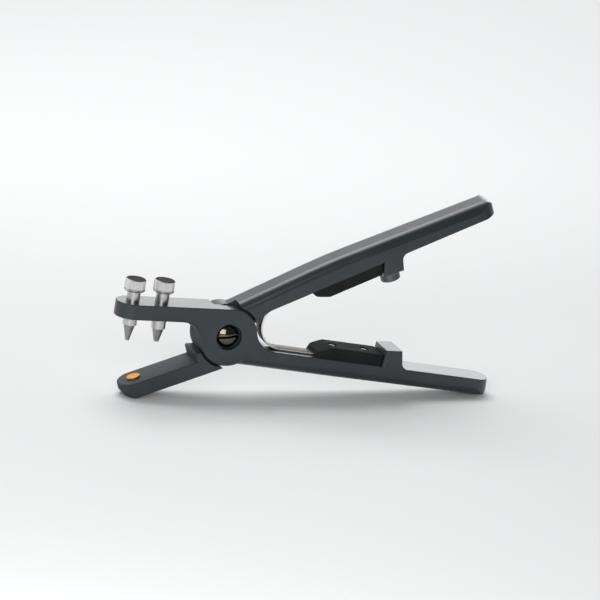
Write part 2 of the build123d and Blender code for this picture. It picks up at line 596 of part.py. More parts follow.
for face, front, end in ((LOWER_FACE, LOWER_FRONT, "lower"), (UPPER_FACE, UPPER_FRONT, "upper")):
    plane = inner_face(*face, INSERT_X)
    seat = plane.offset(INSERT_HEIGHT - INSERT_COUNTERBORE_DEPTH)
    with BuildPart() as grip_insert:
        with BuildSketch(profile_plane(plane)):
            with BuildLine():
                Polyline(
                    (0, 0),
                    (INSERT_END_BEVEL, INSERT_NOSE_HEIGHT),
                    (INSERT_RAMP, INSERT_HEIGHT),
                    (insert_end(plane, face[0], front, INSERT_HEIGHT), INSERT_HEIGHT),
                    (insert_end(plane, face[0], front, 0), 0),
                    close=True,
                )
            make_face()
        extrude(amount=INSERT_WIDTH / 2, both=True)
        corners = grip_insert.edges().filter_by(lambda edge: abs((edge % 0.5).dot(plane.z_dir)) > 0.8)
        fillet(corners, INSERT_CORNER)
        top = grip_insert.faces().filter_by(lambda face: face.normal_at().dot(plane.z_dir) > 0.9)
        fillet(top.sort_by(SortBy.AREA)[-1].edges(), INSERT_EDGE)
        with BuildSketch(plane):
            Rectangle(2 * BLOCK_X, LEAF_WIDTH + 2 * LEAF_GROOVE_GAP)
        extrude(amount=LEAF_THICKNESS + 2 * SEAT_CLEARANCE, mode=Mode.SUBTRACT)
        with BuildSketch(plane):
            with Locations(*screw_points()):
                Circle(INSERT_SCREW_THREAD / 2 + SLIP)
        extrude(amount=INSERT_HEIGHT, mode=Mode.SUBTRACT)
        with BuildSketch(plane.offset(INSERT_HEIGHT)):
            with Locations(*screw_points()):
                Circle(INSERT_COUNTERBORE / 2)
        extrude(amount=-INSERT_COUNTERBORE_DEPTH, mode=Mode.SUBTRACT)
    grip_insert.part.label = f"{end}_grip_insert"
    export_step(grip_insert.part, f"parts/{end}_grip_insert.step")
    with BuildPart() as insert_screws:
        with BuildSketch(seat):
            with Locations(*screw_points()):
                Circle(INSERT_SCREW_HEAD / 2)
        extrude(amount=INSERT_SCREW_HEAD_HEIGHT)
        crowns = insert_screws.faces().group_by(Axis(plane.origin, plane.z_dir))[-1]
        fillet(crowns.edges(), INSERT_SCREW_CROWN)
        with BuildSketch(plane.offset(-INSERT_SCREW_DEPTH)):
            with Locations(*screw_points()):
                Circle(INSERT_SCREW_THREAD / 2)
        extrude(amount=INSERT_SCREW_DEPTH + INSERT_HEIGHT - INSERT_COUNTERBORE_DEPTH)
        with BuildSketch(seat.offset(INSERT_SCREW_HEAD_HEIGHT)):
            with Locations(*screw_points()):
                Rectangle(INSERT_SCREW_HEAD, INSERT_SCREW_SLOT_WIDTH)
        extrude(amount=-INSERT_SCREW_SLOT_DEPTH, mode=Mode.SUBTRACT)
    insert_screws.part.label = f"{end}_insert_screws"
    export_step(insert_screws.part, f"parts/{end}_insert_screws.step")


def leaf_line(face):
    """Point and slope of the leaf's middle line along a handle's inner face, in the upper lever's view."""
    off = SEAT_CLEARANCE + LEAF_THICKNESS / 2
    plane = inner_face(*face, LEAF_END_X)
    point = UPPER_SIDE.to_local_coords(plane.origin + plane.z_dir * off)
    further = UPPER_SIDE.to_local_coords(plane.origin + plane.z_dir * off + plane.x_dir)
    return (point.X, point.Y), (further.Y - point.Y) / (further.X - point.X)


with BuildPart() as leaf_spring:
    lower_tip, lower_slope = leaf_line(LOWER_FACE)
    upper_tip, upper_slope = leaf_line(UPPER_FACE)
    apex_x = (upper_tip[1] - upper_slope * upper_tip[0] - lower_tip[1] + lower_slope * lower_tip[0]) / (
        lower_slope - upper_slope)
    apex = (apex_x, lower_tip[1] + lower_slope * (apex_x - lower_tip[0]))
    with BuildSketch(UPPER_SIDE):
        with BuildLine():
            FilletPolyline(lower_tip, apex, upper_tip, radius=LEAF_BEND)
        trace(line_width=LEAF_THICKNESS)
    extrude(amount=LEAF_WIDTH / 2, both=True)
    for face in (LOWER_FACE, UPPER_FACE):
        with BuildSketch(inner_face(*face, INSERT_X)):
            with Locations(*screw_points()):
                Circle(INSERT_SCREW_THREAD / 2 + LEAF_HOLE_PLAY)
        extrude(amount=2 * LEAF_THICKNESS, mode=Mode.SUBTRACT)
leaf_spring.part.label = "leaf_spring"
export_step(leaf_spring.part, "parts/leaf_spring.step")


# ---- punches --------------------------------------------------------------------------------------
for name, punch_x, collar, tip, tip_diameter in PUNCHES:
    with BuildPart() as punch_sleeve:
        with BuildSketch(upright(UPPER_SIDE, -punch_x, collar)):
            Circle(COLLAR_DIAMETER / 2)
        extrude(amount=UPPER_JAW_FACE - collar)
        with BuildSketch(upright(UPPER_SIDE, -punch_x, UPPER_JAW_FACE)):
            Circle(SLEEVE_DIAMETER / 2)
        extrude(amount=SLEEVE_TOP - UPPER_JAW_FACE)
        chamfer(punch_sleeve.faces().sort_by(across(UPPER_SIDE))[-1].edges(), SLEEVE_CHAMFER)
        with BuildSketch(upright(UPPER_SIDE, -punch_x, SLEEVE_TOP)):
            Circle(HEAD_SPIGOT / 2 + SLIP)
        extrude(amount=SLEEVE_SEAT - SLEEVE_TOP, mode=Mode.SUBTRACT)
        with BuildSketch(upright(UPPER_SIDE, -punch_x, collar)):
            Circle(PUNCH_BASE / 2 + SLIP)
        extrude(amount=PUNCH_STROKE + BASE_LAND + STROKE_PLAY, mode=Mode.SUBTRACT)
        with BuildSketch(upright(UPPER_SIDE, -punch_x, collar)):
            Circle(PUNCH_SHANK / 2 + SLIP)
            with Locations((PUNCH_FLAT + SLIP, 0)):
                Rectangle(PUNCH_SHANK, 2 * PUNCH_SHANK, align=BESIDE, mode=Mode.SUBTRACT)
        extrude(amount=SLEEVE_SEAT - collar, mode=Mode.SUBTRACT)
        with BuildSketch(UPPER_SIDE.offset(-HALF)):
            with Locations((-punch_x - PIN_OFFSET, PIN_HEIGHT)):
                Circle(PIN_DIAMETER / 2)
        extrude(amount=PIN_LENGTH, mode=Mode.SUBTRACT)
    punch_sleeve.part.label = f"{name}_punch_sleeve"
    export_step(punch_sleeve.part, f"parts/{name}_punch_sleeve.step")
    with BuildPart() as thumb_head:
        with BuildSketch(upright(UPPER_SIDE, -punch_x, HEAD_BOTTOM)):
            Circle(HEAD_DIAMETER / 2)
        extrude(amount=HEAD_TOP - HEAD_BOTTOM)
        chamfer(thumb_head.edges().filter_by(GeomType.CIRCLE), HEAD_CHAMFER)
        with BuildSketch(upright(UPPER_SIDE, -punch_x, HEAD_BOTTOM)):
            with PolarLocations(HEAD_DIAMETER / 2, KNURL_COUNT):
                RegularPolygon(KNURL_DEPTH, 4)
        extrude(amount=HEAD_TOP - HEAD_BOTTOM, mode=Mode.SUBTRACT)
        with BuildSketch(upright(UPPER_SIDE, -punch_x, HEAD_TOP)):
            Circle(HEAD_DIAMETER / 2 - HEAD_CHAMFER - HEAD_RIM)
        extrude(amount=-HEAD_DISH, taper=45, mode=Mode.SUBTRACT)
        with BuildSketch(upright(UPPER_SIDE, -punch_x, HEAD_BOTTOM)):
            Circle(HEAD_SPIGOT / 2)
        extrude(amount=SLEEVE_SEAT + SLIP - HEAD_BOTTOM)
        with BuildSketch(upright(UPPER_SIDE, -punch_x, PIN_HEIGHT - PIN_DIAMETER / 2 - SLIP)):
            Circle(HEAD_SPIGOT)
            Circle(PIN_OFFSET - PIN_DIAMETER / 2 - SLIP, mode=Mode.SUBTRACT)
        extrude(amount=PIN_DIAMETER + 2 * SLIP, mode=Mode.SUBTRACT)
        with BuildSketch(upright(UPPER_SIDE, -punch_x, SLEEVE_SEAT)):
            Circle(PUNCH_THREAD / 2 + SLIP)
        extrude(amount=HEAD_TOP - HEAD_WEB - SLEEVE_SEAT, mode=Mode.SUBTRACT)
    thumb_head.part.label = f"{name}_thumb_head"
    export_step(thumb_head.part, f"parts/{name}_thumb_head.step")
    with BuildPart() as punch:
        with BuildSketch(upright(UPPER_SIDE, -punch_x, collar)):
            Circle(PUNCH_BASE / 2)
        extrude(amount=BASE_LAND)
        with BuildSketch(upright(UPPER_SIDE, -punch_x, collar)):
            Circle(PUNCH_BASE / 2)
        with BuildSketch(upright(UPPER_SIDE, -punch_x, -tip)):
            Circle(tip_diameter / 2)
        loft()
        with BuildSketch(upright(UPPER_SIDE, -punch_x, collar)):
            Circle(PUNCH_SHANK / 2)
            with Locations((PUNCH_FLAT, 0)):
                Rectangle(PUNCH_SHANK, 2 * PUNCH_SHANK, align=BESIDE, mode=Mode.SUBTRACT)
        extrude(amount=SHANK_TOP - collar)
        with BuildSketch(upright(UPPER_SIDE, -punch_x, collar)):
            Circle(PUNCH_THREAD / 2)
        extrude(amount=THREAD_TOP - collar)
        with BuildSketch(upright(UPPER_SIDE, -punch_x, -tip)):
            Circle(tip_diameter / 2 - HOLLOW_WALL)
        extrude(amount=HOLLOW_DEPTH, mode=Mode.SUBTRACT)
    punch.part.label = f"{name}_punch"
    export_step(punch.part, f"parts/{name}_punch.step")


with BuildPart() as head_pins:
    with BuildSketch(UPPER_SIDE.offset(-HALF)):
        with Locations(*[(-x - PIN_OFFSET, PIN_HEIGHT) for x in (FRONT_PUNCH_X, REAR_PUNCH_X)]):
            Circle(PIN_DIAMETER / 2)
    extrude(amount=PIN_LENGTH)
head_pins.part.label = "head_pins"
export_step(head_pins.part, "parts/head_pins.step")
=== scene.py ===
"""Looks of a lever hole punch: a finish for every CAD piece, the bent leaf spring and the studio.

Places and sizes are in metres in the row frame: +X runs from the jaws to the ends of the handles,
+Y from the pivot screw's head to its nut, and +Z up. A finish measures its pattern in millimetres
about a point of the piece that it covers.
"""

from __future__ import annotations

import json
import logging
import math
from dataclasses import dataclass
from enum import Enum
from typing import Any

import bpy
from mathutils import Matrix, Vector


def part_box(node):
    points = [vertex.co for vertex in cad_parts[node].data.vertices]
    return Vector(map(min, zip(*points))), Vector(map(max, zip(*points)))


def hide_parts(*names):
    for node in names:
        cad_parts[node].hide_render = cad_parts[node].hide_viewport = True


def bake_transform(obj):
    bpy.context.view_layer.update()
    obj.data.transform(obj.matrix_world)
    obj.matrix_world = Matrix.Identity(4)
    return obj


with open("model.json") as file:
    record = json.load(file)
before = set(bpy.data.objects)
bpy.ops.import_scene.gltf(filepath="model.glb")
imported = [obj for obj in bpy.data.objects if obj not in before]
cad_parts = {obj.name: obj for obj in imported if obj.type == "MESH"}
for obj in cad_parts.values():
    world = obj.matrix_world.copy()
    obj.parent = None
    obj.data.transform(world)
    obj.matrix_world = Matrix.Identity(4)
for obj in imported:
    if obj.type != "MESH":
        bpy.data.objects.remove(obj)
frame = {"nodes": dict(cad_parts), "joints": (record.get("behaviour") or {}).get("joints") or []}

logging.basicConfig(level=logging.INFO, format="%(levelname)s %(message)s")
log = logging.getLogger("hole_punch")

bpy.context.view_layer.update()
MM = 0.001

Triple = tuple[float, float, float]
Pair = tuple[float, float]
Colour = Triple | bpy.types.NodeSocket


def joint(name: str) -> dict[str, Any]:
    """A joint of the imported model, by its name."""
    return next(found for found in frame["joints"] if found["name"] == name)


LEVER_PIVOT = joint("lever_pivot")
PIVOT = Vector(LEVER_PIVOT["pos_m"])
OPENING = math.radians(LEVER_PIVOT["range_deg"][1])
PUNCH_AXIS = -Vector(joint("front_head_turn")["axis"])
TILT = math.atan2(PUNCH_AXIS.x, PUNCH_AXIS.z)

# Turns about X, Y and Z, in radians, that bring a pattern's axes to the tool's.
UPRIGHT: Triple = (0.0, 0.0, 0.0)
UPPER_TURN: Triple = (0.0, TILT, 0.0)
LOWER_TURN: Triple = (0.0, TILT - OPENING, 0.0)
PIVOT_TURN: Triple = (math.pi / 2, 0.0, 0.0)


class Body(Enum):
    """The bodies that the leaf spring joins."""

    UPPER_JAW = "upper_jaw_side"
    LOWER_JAW = "lower_jaw_side"


# ---- shader maths --------------------------------------------------------------------------------
class Value:
    """A number on a node's socket, with the arithmetic operators adding Math nodes."""

    def __init__(self, tree: NodeTree, socket: bpy.types.NodeSocket) -> None:
        """Wraps a socket.

        Args:
            tree: The tree that new nodes go into.
            socket: The output socket that holds the number.
        """
        self.tree = tree
        self.socket = socket

    def math(self, operation: str, *others: Value | float, swap: bool = False) -> Value:
        """Adds a Math node on this value.

        Args:
            operation: The Math node's operation.
            others: The other operands, as values or numbers.
            swap: Whether this value is the last operand.

        Returns:
            The node's result.
        """
        operands = [self, *others]
        if swap:
            operands.reverse()
        settings = {"operation": operation}
        return self.tree.value("ShaderNodeMath", settings, dict(enumerate(operands)))

    def __add__(self, other: Value | float) -> Value:
        """Adds."""
        return self.math("ADD", other)

    __radd__ = __add__

    def __sub__(self, other: Value | float) -> Value:
        """Subtracts."""
        return self.math("SUBTRACT", other)

    def __rsub__(self, other: Value | float) -> Value:
        """Subtracts this from another."""
        return self.math("SUBTRACT", other, swap=True)

    def __mul__(self, other: Value | float) -> Value:
        """Multiplies."""
        return self.math("MULTIPLY", other)

    __rmul__ = __mul__

    def __pow__(self, other: Value | float) -> Value:
        """Raises to a power."""
        return self.math("POWER", other)

    def __abs__(self) -> Value:
        """Drops the sign."""
        return self.math("ABSOLUTE")

    def between(self, low: float, high: float) -> Value:
        """Maps low to 0 and high to 1 smoothly, and keeps the rest at the nearer end.

        Args:
            low: The value that becomes 0, which may be the higher one.
            high: The value that becomes 1.

        Returns:
            The mapped value.
        """
        settings = {"interpolation_type": "SMOOTHSTEP"}
        inputs = {"Value": self, "From Min": low, "From Max": high}
        return self.tree.value("ShaderNodeMapRange", settings, inputs)

    def spread(self, low: float, high: float) -> Value:
        """Maps 0 to low and 1 to high."""
        return self * (high - low) + low


class NodeTree:
    """The nodes of a material or a world."""

    def __init__(self, holder: bpy.types.Material | bpy.types.World) -> None:
        """Turns the nodes on.

        Args:
            holder: The material or world.
        """
        holder.use_nodes = True
        self.nodes = holder.node_tree.nodes
        self.links = holder.node_tree.links

    def first(self, kind: str) -> bpy.types.Node:
        """The node of a kind that the tree starts with."""
        return next(node for node in self.nodes if node.type == kind)

    def node(
        self, kind: str, settings: dict[str, object], inputs: dict[int | str, object]
    ) -> bpy.types.Node:
        """Adds a node.

        Args:
            kind: The node's type.
            settings: Its properties, which are set first.
            inputs: Numbers, colours, values or sockets for its inputs.

        Returns:
            The node.
        """
        made = self.nodes.new(kind)
        for key, setting in settings.items():
            setattr(made, key, setting)
        for key, given in inputs.items():
            self.feed(made.inputs[key], given)
        return made

    def feed(self, socket: bpy.types.NodeSocket, given: object) -> None:
        """Links or sets an input.

        Args:
            socket: The input.
            given: A value, a socket, a number or a colour.
        """
        if isinstance(given, Value):
            given = given.socket
        if isinstance(given, bpy.types.NodeSocket):
            self.links.new(given, socket)
        else:
            socket.default_value = given

    def value(
        self, kind: str, settings: dict[str, object], inputs: dict[int | str, object]
    ) -> Value:
        """Adds a node and wraps its first output."""
        return Value(self, self.node(kind, settings, inputs).outputs[0])

    def coordinates(self, kind: str) -> bpy.types.NodeSocket:
        """An output of the Texture Coordinate node."""
        return self.node("ShaderNodeTexCoord", {}, {}).outputs[kind]

    def place(self, centre: Vector, turn: Triple = UPRIGHT) -> bpy.types.NodeSocket:
        """Object coordinates in millimetres about a point.

        Args:
            centre: The point of the row frame that becomes the origin.
            turn: The pattern's turns about X, Y and Z, in radians.

        Returns:
            The coordinates' socket.
        """
        inputs = {
            "Vector": self.coordinates("Object"),
            "Location": tuple(centre),
            "Rotation": turn,
            "Scale": (MM, MM, MM),
        }
        return self.node("ShaderNodeMapping", {"vector_type": "TEXTURE"}, inputs).outputs[0]

    def stretched(self, place: bpy.types.NodeSocket, scale: Triple) -> bpy.types.NodeSocket:
        """Coordinates with a scale of their own along each axis."""
        inputs = {"Vector": place, "Scale": scale}
        return self.node("ShaderNodeMapping", {"vector_type": "POINT"}, inputs).outputs[0]

    def parts(self, place: bpy.types.NodeSocket) -> tuple[Value, Value, Value]:
        """The three numbers of a vector."""
        split = self.node("ShaderNodeSeparateXYZ", {}, {"Vector": place}).outputs
        return Value(self, split[0]), Value(self, split[1]), Value(self, split[2])

    def round_axis(self, place: bpy.types.NodeSocket) -> tuple[Value, Value]:
        """The distance from the Z axis and the height along it."""
        x, y, z = self.parts(place)
        return (x * x + y * y) ** 0.5, z

    def noise(
        self,
        place: bpy.types.NodeSocket,
        scale: float,
        detail: float = 2.0,
        roughness: float = 0.5,
    ) -> Value:
        """Noise on coordinates in millimetres.

        Args:
            place: The coordinates.
            scale: Waves per millimetre.
            detail: Octaves.
            roughness: Strength of the finer octaves.

        Returns:
            The noise, about 0.5.
        """
        inputs = {"Vector": place, "Scale": scale, "Detail": detail, "Roughness": roughness}
        return self.value("ShaderNodeTexNoise", {}, inputs)

    def rings(self, radius: Value, height: Value, scale: float) -> Value:
        """Noise in fine rings about an axis, as a lathe leaves them.

        Args:
            radius: The distance from the axis.
            height: The height along the axis.
            scale: Rings per millimetre.

        Returns:
            The noise, about 0.5.
        """
        joined = self.node("ShaderNodeCombineXYZ", {}, {0: radius, 1: 0.0, 2: height}).outputs[0]
        return self.noise(joined, scale, detail=3.0, roughness=0.7)

    def mix(self, share: Value, first: Colour, second: Colour) -> bpy.types.NodeSocket:
        """Mixes two colours.

        Args:
            share: How much of the second colour shows.
            first: The colour at 0, as three numbers or a socket.
            second: The colour at 1, as three numbers or a socket.

        Returns:
            The mixed colour's socket.
        """
        inputs = {0: share, 6: solid(first), 7: solid(second)}
        return self.node("ShaderNodeMix", {"data_type": "RGBA"}, inputs).outputs[2]


def solid(colour: Colour) -> tuple[float, ...] | bpy.types.NodeSocket:
    """Gives three numbers full alpha and leaves a socket as it is."""
    return (*colour, 1.0) if isinstance(colour, tuple) else colour


class ShaderTree(NodeTree):
    """A material's node tree with one Principled shader."""

    def __init__(self, name: str) -> None:
        """Makes the material.

        Args:
            name: The material's name.
        """
        self.material = bpy.data.materials.new(name)
        super().__init__(self.material)
        self.shader = self.first("BSDF_PRINCIPLED")

    def shade(self, **inputs: object) -> None:
        """Feeds the shader's inputs, whose names are given with _ for a space."""
        for name, given in inputs.items():
            self.feed(self.shader.inputs[name.replace("_", " ")], given)

    def bump(self, height: Value, distance: float) -> None:
        """Feeds the shader's normal from a height.

        Args:
            height: The height, from 0 to 1.
            distance: What a height of 1 measures, in metres.
        """
        inputs = {"Height": height, "Distance": distance, "Strength": 1.0}
        self.shade(Normal=self.node("ShaderNodeBump", {}, inputs).outputs[0])


# ---- finishes ------------------------------------------------------------------------------------
@dataclass(frozen=True)
class SatinCoat:
    """Smooth dark coat on the steel levers, rougher on the milled part of their rims.

    Attributes:
        colour: The coat's colour.
        light: The colour of its lighter clouds.
        roughness: The smooth coat's lowest and highest roughness.
        specular: Its specular level.
        milled: Roughness that milling adds.
        milled_from: Distance along the lever at which milling starts, and is full.
        rim: Distance from the lever's middle plane at which the rim starts, and is full.
        milled_fade: Height over which milling fades in.
        cloud_scale: Clouds per millimetre.
        cloud_range: The cloud noise that has the main colour, and the light one.
        cloud_share: How much of the roughness follows the clouds. The rest follows the peel.
        peel_scale: Waves of the fine orange peel per millimetre.
        relief: Height of the peel.
    """

    colour: Triple = (0.021, 0.029, 0.033)
    light: Triple = (0.029, 0.038, 0.043)
    roughness: Pair = (0.25, 0.33)
    specular: float = 0.55
    milled: float = 0.42
    milled_from: Pair = (-8.0, -13.0)
    rim: Pair = (9.55, 9.45)
    milled_fade: float = 2.0
    cloud_scale: float = 0.035
    cloud_range: Pair = (0.35, 0.7)
    cloud_share: float = 0.6
    peel_scale: float = 1.6
    relief: float = 0.006 * MM

    def make(self, name: str, turn: Triple, milled_under: float) -> bpy.types.Material:
        """Makes the material.

        Args:
            name: Its name.
            turn: The turns that bring X to the lever's line, in radians.
            milled_under: The height over the pivot below which the rim is milled.

        Returns:
            The material.
        """
        tree = ShaderTree(name)
        place = tree.place(PIVOT, turn)
        x, y, z = tree.parts(place)
        milled = x.between(*self.milled_from) * abs(y).between(*self.rim)
        milled = milled * z.between(milled_under, milled_under - self.milled_fade)
        cloud = tree.noise(place, self.cloud_scale, detail=3.0)
        peel = tree.noise(place, self.peel_scale)
        satin = cloud * self.cloud_share + peel * (1.0 - self.cloud_share)
        tree.shade(
            Base_Color=tree.mix(cloud.between(*self.cloud_range), self.colour, self.light),
            Roughness=satin.spread(*self.roughness) + milled * self.milled,
            Specular_IOR_Level=self.specular,
        )
        tree.bump(peel, self.relief)
        return tree.material


@dataclass(frozen=True)
class MouldedPlastic:
    """Black plastic with a fine spark-eroded grain.

    Attributes:
        colour: The plastic's colour.
        worn: The colour where it is handled most.
        roughness: Its lowest and highest roughness.
        specular: Its specular level.
        cloud_scale: Worn clouds per millimetre.
        cloud_range: The cloud noise that is unworn, and worn.
        grain_scale: Grains per millimetre.
        grain_sharpness: Strength of the grain's finer octaves.
        relief: Height of the grain.
    """

    colour: Triple = (0.016, 0.018, 0.018)
    worn: Triple = (0.022, 0.024, 0.024)
    roughness: Pair = (0.66, 0.84)
    specular: float = 0.05
    cloud_scale: float = 0.08
    cloud_range: Pair = (0.4, 0.7)
    grain_scale: float = 5.5
    grain_sharpness: float = 0.6
    relief: float = 0.02 * MM

    def make(self, name: str) -> bpy.types.Material:
        """Makes the material.

        Args:
            name: Its name.

        Returns:
            The material.
        """
        tree = ShaderTree(name)
        place = tree.place(PIVOT)
        grain = tree.noise(place, self.grain_scale, detail=3.0, roughness=self.grain_sharpness)
        cloud = tree.noise(place, self.cloud_scale)
        tree.shade(
            Base_Color=tree.mix(cloud.between(*self.cloud_range), self.colour, self.worn),
            Roughness=grain.spread(*self.roughness),
            Specular_IOR_Level=self.specular,
        )
        tree.bump(grain, self.relief)
        return tree.material


@dataclass(frozen=True)
class TurnedMetal:
    """Metal turned or ground on a lathe, with fine rings about an axis.

    Attributes:
        colour: The metal's colour.
        dull: The colour of its duller clouds.
        roughness: Its lowest and highest roughness.
        cloud_scale: Clouds per millimetre.
        cloud_range: The cloud noise that is bright, and dull.
        ring_scale: Rings per millimetre.
        relief: Height of the rings.
    """

    colour: Triple
    dull: Triple
    roughness: Pair
    cloud_scale: float = 0.25
    cloud_range: Pair = (0.35, 0.75)
    ring_scale: float = 6.25
    relief: float = 0.0025 * MM

    def make(self, name: str, centre: Vector, turn: Triple) -> bpy.types.Material:
        """Makes the material.

        Args:
            name: Its name.
            centre: A point on the axis, in the row frame.
            turn: The turns that bring Z to the axis, in radians.

        Returns:
            The material.
        """
        tree = ShaderTree(name)
        place = tree.place(centre, turn)
        rings = tree.rings(*tree.round_axis(place), self.ring_scale)
        tree.shade(
            Base_Color=self.tone(tree, place),
            Roughness=rings.spread(*self.roughness),
            Metallic=1.0,
        )
        tree.bump(rings, self.relief)
        return tree.material

    def tone(self, tree: ShaderTree, place: bpy.types.NodeSocket) -> bpy.types.NodeSocket:
        """The metal's colour over the surface."""
        cloud = tree.noise(place, self.cloud_scale, detail=3.0)
        return tree.mix(cloud.between(*self.cloud_range), self.colour, self.dull)


@dataclass(frozen=True)
class SlottedHead(TurnedMetal):
    """Polished screw head with painted shade in its slot.

    Attributes:
        slot: Colour of the painted shade in the slot.
        slot_edge: Distance from the slot's middle at which its painted shade starts, and is full.
        slot_floor: Height along the screw at which the painted shade starts, and is full.
        slot_angle: The slot's rise from level, in radians.
    """

    slot: Triple = (0.022, 0.020, 0.017)
    slot_edge: Pair = (0.74, 0.66)
    slot_floor: Pair = (7.1, 7.3)
    slot_angle: float = math.radians(10.0) - TILT

    def tone(self, tree: ShaderTree, place: bpy.types.NodeSocket) -> bpy.types.NodeSocket:
        """The metal's colour over the surface, with painted shade in the slot.

        Args:
            tree: The material's tree.
            place: The coordinates about the screw's axis.

        Returns:
            The colour's socket.
        """
        x, y, z = tree.parts(place)
        off_slot = abs(y * math.cos(self.slot_angle) - x * math.sin(self.slot_angle))
        # Painted shade: the slot's recess is darkened in the colour.
        inside = off_slot.between(*self.slot_edge) * z.between(*self.slot_floor)
        return tree.mix(inside, super().tone(tree, place), self.slot)


@dataclass(frozen=True)
class KnurledSteel:
    """Plated thumb head: crossed knurl round the side with painted shade, dark matt dish on top.

    Attributes:
        crest: Colour of the plating on the knurl's crests and the plain rims.
        groove_shade: Colour of the painted shade in the knurl's grooves and between its rows.
        dish: Colour of the dish.
        groove_radius: Radius of the grooves' bottoms and of the crests.
        dish_radius: Radius at which the dish starts, and is full.
        dish_height: Height over the head's middle at which the dish starts, and is full.
        side_radius: Radius at which the knurled side starts, and is full.
        side_height: Distance from the head's middle at which the side starts, and is full.
        row_pitch: Height of one row of the knurl.
        roughness: Lowest and highest roughness of the plating.
        dish_roughness: Roughness that the dish adds.
        side_roughness: Roughness that the knurl adds.
        specular: Specular level of the dish, which isn't bare metal.
        ring_scale: Turned rings per millimetre.
        relief: Depth of the cuts between the knurl's rows.
    """

    crest: Triple = (0.72, 0.72, 0.705)
    # Painted shade: the knurl's grooves are darkened in the colour.
    groove_shade: Triple = (0.24, 0.24, 0.235)
    dish: Triple = (0.045, 0.045, 0.043)
    groove_radius: Pair = (5.82, 6.08)
    dish_radius: Pair = (5.86, 5.70)
    dish_height: Pair = (2.9, 3.2)
    side_radius: Pair = (5.7, 5.8)
    side_height: Pair = (3.05, 2.85)
    row_pitch: float = 0.75
    roughness: Pair = (0.18, 0.30)
    dish_roughness: float = 0.5
    side_roughness: float = 0.10
    specular: float = 0.05
    ring_scale: float = 6.0
    relief: float = 0.12 * MM

    def make(self, name: str, centre: Vector, turn: Triple) -> bpy.types.Material:
        """Makes the material.

        Args:
            name: Its name.
            centre: The middle of the head, in the row frame.
            turn: The turns that bring Z to the head's axis, in radians.

        Returns:
            The material.
        """
        tree = ShaderTree(name)
        radius, height = tree.round_axis(tree.place(centre, turn))
        side = radius.between(*self.side_radius) * abs(height).between(*self.side_height)
        dish = radius.between(*self.dish_radius) * height.between(*self.dish_height)
        rows = (height * (2 * math.pi / self.row_pitch)).math("SINE") * 0.5 + 0.5
        knurl = (1.0 - side) + rows * side
        # Painted shade: darker colour in the knurl's grooves and between its rows.
        groove_shade_share = side * (1.0 - radius.between(*self.groove_radius) * knurl)
        rings = tree.rings(radius, height, self.ring_scale).spread(*self.roughness)
        tree.shade(
            Base_Color=tree.mix(dish, tree.mix(groove_shade_share, self.crest, self.groove_shade), self.dish),
            Metallic=1.0 - dish,
            Roughness=rings + dish * self.dish_roughness + side * self.side_roughness,
            Specular_IOR_Level=self.specular,
        )
        tree.bump(knurl, self.relief)
        return tree.material


@dataclass(frozen=True)
class SpringSteel:
    """Tempered spring strip: brown along its faces, with bright trimmed edges.

    Attributes:
        face: Colour of the tempered faces.
        dull: Colour of their duller clouds.
        trimmed: Colour of the trimmed edges.
        trim: Distance from the strip's middle at which a trimmed edge starts, and is full.
        roughness: Lowest and highest roughness of the faces.
        trim_gloss: How much smoother the trimmed edges are.
        metal: Metallic share of the oxidised faces and of the bare edges.
        specular: Specular level of the oxide.
        cloud_scale: Clouds per millimetre.
        cloud_range: The cloud noise that has the main colour, and the dull one.
        cloud_share: How much of the roughness follows the clouds. The rest follows the streaks.
        streaks: Rolling streaks per millimetre along each axis.
        relief: Height of the streaks.
    """

    face: Triple = (0.070, 0.061, 0.046)
    dull: Triple = (0.045, 0.038, 0.028)
    trimmed: Triple = (0.82, 0.81, 0.78)
    trim: Pair = (4.22, 4.36)
    roughness: Pair = (0.40, 0.56)
    trim_gloss: float = 0.2
    metal: Pair = (0.6, 1.0)
    specular: float = 0.2
    cloud_scale: float = 0.12
    cloud_range: Pair = (0.4, 0.7)
    cloud_share: float = 0.3
    streaks: Triple = (0.05, 6.0, 0.05)
    relief: float = 0.003 * MM

    def make(self, name: str) -> bpy.types.Material:
        """Makes the material.

        Args:
            name: Its name.

        Returns:
            The material.
        """
        tree = ShaderTree(name)
        place = tree.place(PIVOT)
        _, y, _ = tree.parts(place)
        trim = abs(y).between(*self.trim)
        streaks = tree.noise(tree.stretched(place, self.streaks), 1.0, detail=4.0, roughness=0.7)
        cloud = tree.noise(place, self.cloud_scale, detail=3.0)
        face = tree.mix(cloud.between(*self.cloud_range), self.face, self.dull)
        worn = streaks * (1.0 - self.cloud_share) + cloud * self.cloud_share
        tree.shade(
            Base_Color=tree.mix(trim, face, self.trimmed),
            Roughness=worn.spread(*self.roughness) - trim * self.trim_gloss,
            Metallic=trim.spread(*self.metal),
            Specular_IOR_Level=self.specular,
        )
        tree.bump(streaks, self.relief)
        return tree.material


class Turned(Enum):
    """The turned metals of the tool."""

    BRIGHT = TurnedMetal((0.62, 0.62, 0.61), (0.50, 0.50, 0.49), (0.24, 0.38))
    TOOL = TurnedMetal((0.33, 0.33, 0.32), (0.25, 0.25, 0.245), (0.26, 0.42))
    ZINC = TurnedMetal((0.46, 0.46, 0.45), (0.34, 0.34, 0.33), (0.26, 0.42))
    PEG = TurnedMetal((0.17, 0.175, 0.175), (0.13, 0.135, 0.135), (0.38, 0.52))
    PIVOT = SlottedHead((0.155, 0.146, 0.118), (0.115, 0.106, 0.084), (0.09, 0.16))
    BRASS = TurnedMetal((0.52, 0.25, 0.05), (0.40, 0.185, 0.035), (0.34, 0.48))
    BRONZE = TurnedMetal((0.40, 0.24, 0.11), (0.28, 0.16, 0.07), (0.34, 0.5))

    def make(self, name: str, centre: Vector, turn: Triple) -> bpy.types.Material:
        """Makes the metal's material about an axis."""
        return self.value.make(name, centre, turn)


# ---- sub-assemblies ------------------------------------------------------------------------------
def dress(node: str, material: bpy.types.Material) -> None:
    """Gives a CAD node its finish.

    Args:
        node: The node's name.
        material: The finish.
    """
    piece = frame["nodes"][node]
    piece.data.materials.clear()
    piece.data.materials.append(material)
    log.info("dressed %s with %s", node, material.name)


